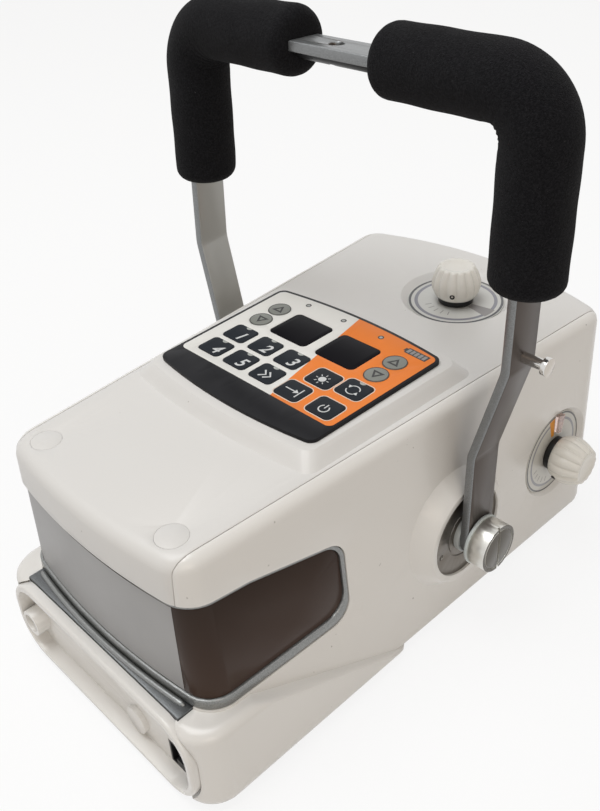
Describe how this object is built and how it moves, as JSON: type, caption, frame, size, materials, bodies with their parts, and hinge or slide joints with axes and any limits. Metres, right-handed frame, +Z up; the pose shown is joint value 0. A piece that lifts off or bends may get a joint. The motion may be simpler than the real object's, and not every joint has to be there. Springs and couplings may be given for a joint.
{
  "type": "portable x-ray generator",
  "caption": "Hand-carried x-ray generator: white moulded housing with keypad, smoked rear window, swinging padded carry handle and two collimator knobs.",
  "frame": {"origin": "centre of the overall bounding box at floor level", "axes": "+Y towards the beam end, -Y the rear with the smoked window, +X the right side seen from behind (side knob), +Z up"},
  "size_m": [0.299, 0.382, 0.3712],
  "materials": {
    "white_shell": "white injection-moulded plastic with a soft gloss",
    "smoked_panel": "dark smoked plastic, glossy",
    "silver_plastic": "silver-grey metallic plastic",
    "clear_panel": "clear polycarbonate",
    "black_plastic": "black plastic",
    "foot_rubber": "black rubber",
    "grip_foam": "fine-grained black foam",
    "arm_metal": "silver paint with a fine sparkle",
    "pivot_metal": "turned aluminium",
    "shaft_steel": "ground steel",
    "stud_chrome": "bright plating",
    "plate_film": "printed keypad film in white, orange and black",
    "key_grey": "dark grey keys",
    "round_key_grey": "mid grey keys",
    "display_dark": "dark display window",
    "knob_white": "white knob",
    "dial_grey": "printed dial plate",
    "chassis_zinc": "zinc-plated plate",
    "tank_paint": "grey paint",
    "tube_glass": "thick glass",
    "resin_brown": "cast resin",
    "battery_blue": "wrapped cells",
    "board_green": "coated circuit board",
    "lamp_ceramic": "ceramic lamp body",
    "mirror_film": "thin mirror",
    "shutter_lead": "dull lead-grey metal"
  },
  "bodies": {
    "housing": {"right_side_shell": "white_shell", "left_side_shell": "white_shell", "top_cover": "white_shell", "cover_plugs": "white_shell", "smoked_window": "smoked_panel", "window_trim": "silver_plastic", "rear_ledge": "silver_plastic", "front_panel": "white_shell", "beam_window": "clear_panel", "rear_base_panel": "white_shell", "charger_socket": "black_plastic", "floor_feet": "foot_rubber", "kv_display": "display_dark", "mas_display": "display_dark", "keypad_plate": "plate_film", "pivot_rings": "pivot_metal", "pivot_shafts": "shaft_steel", "pivot_spacers": "black_plastic", "pivot_washers": "pivot_metal", "pivot_caps": "pivot_metal", "top_dial_plate": "dial_grey", "side_dial_plate": "dial_grey", "chassis_plate": "chassis_zinc", "battery_pack": "battery_blue", "xray_tank": "tank_paint", "tank_lid": "tank_paint", "high_voltage_transformer": "resin_brown", "xray_tube": "tube_glass", "control_board": "board_green", "collimator_frame": "tank_paint", "collimator_lamp": "lamp_ceramic", "beam_mirror": "mirror_film", "shutter_guide": "chassis_zinc"},
    "handle": {"handle_bar": "arm_metal", "bar_liner": "black_plastic", "right_grip": "grip_foam", "left_grip": "grip_foam", "strap_stud": "stud_chrome"},
    "top_dial_knob": {"top_knob": "knob_white", "top_spindle": "black_plastic"},
    "side_dial_knob": {"side_knob": "knob_white", "side_spindle": "black_plastic"},
    "right_shutter_slide_body": {"right_shutter": "shutter_lead"},
    "left_shutter_slide_body": {"left_shutter": "shutter_lead"},
    "upper_shutter_slide_body": {"upper_shutter": "shutter_lead"},
    "lower_shutter_slide_body": {"lower_shutter": "shutter_lead"},
    "preset_key_1_cap": {"preset_key_1": "key_grey"},
    "preset_key_2_cap": {"preset_key_2": "key_grey"},
    "preset_key_3_cap": {"preset_key_3": "key_grey"},
    "preset_key_4_cap": {"preset_key_4": "key_grey"},
    "preset_key_5_cap": {"preset_key_5": "key_grey"},
    "fast_key_cap": {"fast_key": "key_grey"},
    "store_key_cap": {"store_key": "key_grey"},
    "lamp_key_cap": {"lamp_key": "key_grey"},
    "display_turn_key_cap": {"display_turn_key": "key_grey"},
    "power_key_cap": {"power_key": "key_grey"},
    "kv_up_key_cap": {"kv_up_key": "round_key_grey"},
    "kv_down_key_cap": {"kv_down_key": "round_key_grey"},
    "mas_up_key_cap": {"mas_up_key": "round_key_grey"},
    "mas_down_key_cap": {"mas_down_key": "round_key_grey"}
  },
  "joints": [
    {"name": "handle_swing", "type": "hinge", "parent": "housing", "child": "handle", "pos_m": [0, 0.024, 0.072], "axis": [1, 0, 0], "range_deg": [-65, 95]},
    {"name": "top_knob_turn", "type": "hinge", "parent": "housing", "child": "top_dial_knob", "pos_m": [0.016, 0.125, 0.17], "axis": [0, 0, 1], "range_deg": [-135, 135]},
    {"name": "side_knob_turn", "type": "hinge", "parent": "housing", "child": "side_dial_knob", "pos_m": [0.11, 0.127, 0.071], "axis": [1, 0, 0], "range_deg": [-135, 135]},
    {"name": "right_shutter_slide", "type": "slide", "parent": "housing", "child": "right_shutter_slide_body", "axis": [1, 0, 0], "range_m": [-0.01248, 0.01248]},
    {"name": "left_shutter_slide", "type": "slide", "parent": "housing", "child": "left_shutter_slide_body", "axis": [1, 0, 0], "range_m": [-0.01248, 0.01248]},
    {"name": "upper_shutter_slide", "type": "slide", "parent": "housing", "child": "upper_shutter_slide_body", "axis": [0, 0, 1], "range_m": [-0.01248, 0.01248]},
    {"name": "lower_shutter_slide", "type": "slide", "parent": "housing", "child": "lower_shutter_slide_body", "axis": [0, 0, 1], "range_m": [-0.01248, 0.01248]},
    {"name": "preset_key_1_press", "type": "slide", "parent": "housing", "child": "preset_key_1_cap", "axis": [0, 0, -1], "range_m": [0, 0.0005], "stiffness_N_per_m": 4000},
    {"name": "preset_key_2_press", "type": "slide", "parent": "housing", "child": "preset_key_2_cap", "axis": [0, 0, -1], "range_m": [0, 0.0005], "stiffness_N_per_m": 4000},
    {"name": "preset_key_3_press", "type": "slide", "parent": "housing", "child": "preset_key_3_cap", "axis": [0, 0, -1], "range_m": [0, 0.0005], "stiffness_N_per_m": 4000},
    {"name": "preset_key_4_press", "type": "slide", "parent": "housing", "child": "preset_key_4_cap", "axis": [0, 0, -1], "range_m": [0, 0.0005], "stiffness_N_per_m": 4000},
    {"name": "preset_key_5_press", "type": "slide", "parent": "housing", "child": "preset_key_5_cap", "axis": [0, 0, -1], "range_m": [0, 0.0005], "stiffness_N_per_m": 4000},
    {"name": "fast_key_press", "type": "slide", "parent": "housing", "child": "fast_key_cap", "axis": [0, 0, -1], "range_m": [0, 0.0005], "stiffness_N_per_m": 4000},
    {"name": "store_key_press", "type": "slide", "parent": "housing", "child": "store_key_cap", "axis": [0, 0, -1], "range_m": [0, 0.0005], "stiffness_N_per_m": 4000},
    {"name": "lamp_key_press", "type": "slide", "parent": "housing", "child": "lamp_key_cap", "axis": [0, 0, -1], "range_m": [0, 0.0005], "stiffness_N_per_m": 4000},
    {"name": "display_turn_key_press", "type": "slide", "parent": "housing", "child": "display_turn_key_cap", "axis": [0, 0, -1], "range_m": [0, 0.0005], "stiffness_N_per_m": 4000},
    {"name": "power_key_press", "type": "slide", "parent": "housing", "child": "power_key_cap", "axis": [0, 0, -1], "range_m": [0, 0.0005], "stiffness_N_per_m": 4000},
    {"name": "kv_up_key_press", "type": "slide", "parent": "housing", "child": "kv_up_key_cap", "axis": [0, 0, -1], "range_m": [0, 0.0005], "stiffness_N_per_m": 4000},
    {"name": "kv_down_key_press", "type": "slide", "parent": "housing", "child": "kv_down_key_cap", "axis": [0, 0, -1], "range_m": [0, 0.0005], "stiffness_N_per_m": 4000},
    {"name": "mas_up_key_press", "type": "slide", "parent": "housing", "child": "mas_up_key_cap", "axis": [0, 0, -1], "range_m": [0, 0.0005], "stiffness_N_per_m": 4000},
    {"name": "mas_down_key_press", "type": "slide", "parent": "housing", "child": "mas_down_key_cap", "axis": [0, 0, -1], "range_m": [0, 0.0005], "stiffness_N_per_m": 4000}
  ],
  "couplings": [
    {"joint": "left_shutter_slide", "follows": "right_shutter_slide", "ratio": -1},
    {"joint": "top_knob_turn", "follows": "right_shutter_slide", "rad_per_m": 188.68},
    {"joint": "lower_shutter_slide", "follows": "upper_shutter_slide", "ratio": -1},
    {"joint": "side_knob_turn", "follows": "upper_shutter_slide", "rad_per_m": 188.68}
  ]
}
